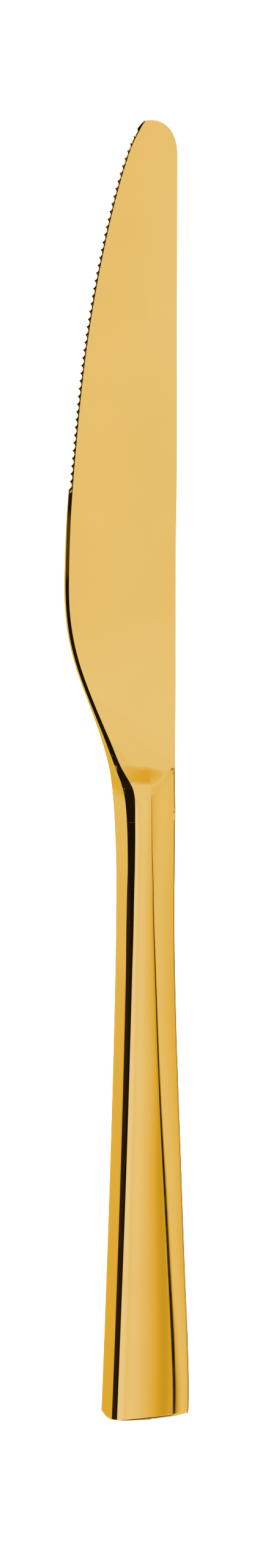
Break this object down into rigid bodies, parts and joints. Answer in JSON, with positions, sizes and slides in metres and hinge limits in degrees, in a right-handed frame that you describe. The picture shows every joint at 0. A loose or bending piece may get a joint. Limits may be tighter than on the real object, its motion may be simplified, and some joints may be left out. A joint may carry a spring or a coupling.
{
  "type": "table knife",
  "caption": "Small gold-coloured table knife for butter: round-tipped blade with a serrated edge and plain heel, bolster and slim faceted hollow handle.",
  "frame": {"origin": "Under the middle of the knife's outline, on the middle plane, at the crest of the rounded butt.", "axes": "Tip up, as in the picture: +Z runs from the butt to the tip, +X towards the spine, -X towards the cutting edge, -Y is the front face and +Y the back face."},
  "size_m": [0.0166, 0.0052, 0.17],
  "materials": {
    "blade_steel": "polished",
    "front_shell_steel": "polished",
    "back_shell_steel": "polished",
    "handle_cement": "matte"
  },
  "bodies": {
    "root": {"blade": "blade_steel", "handle_front_shell": "front_shell_steel", "handle_back_shell": "back_shell_steel", "handle_filling": "handle_cement"}
  },
  "joints": []
}
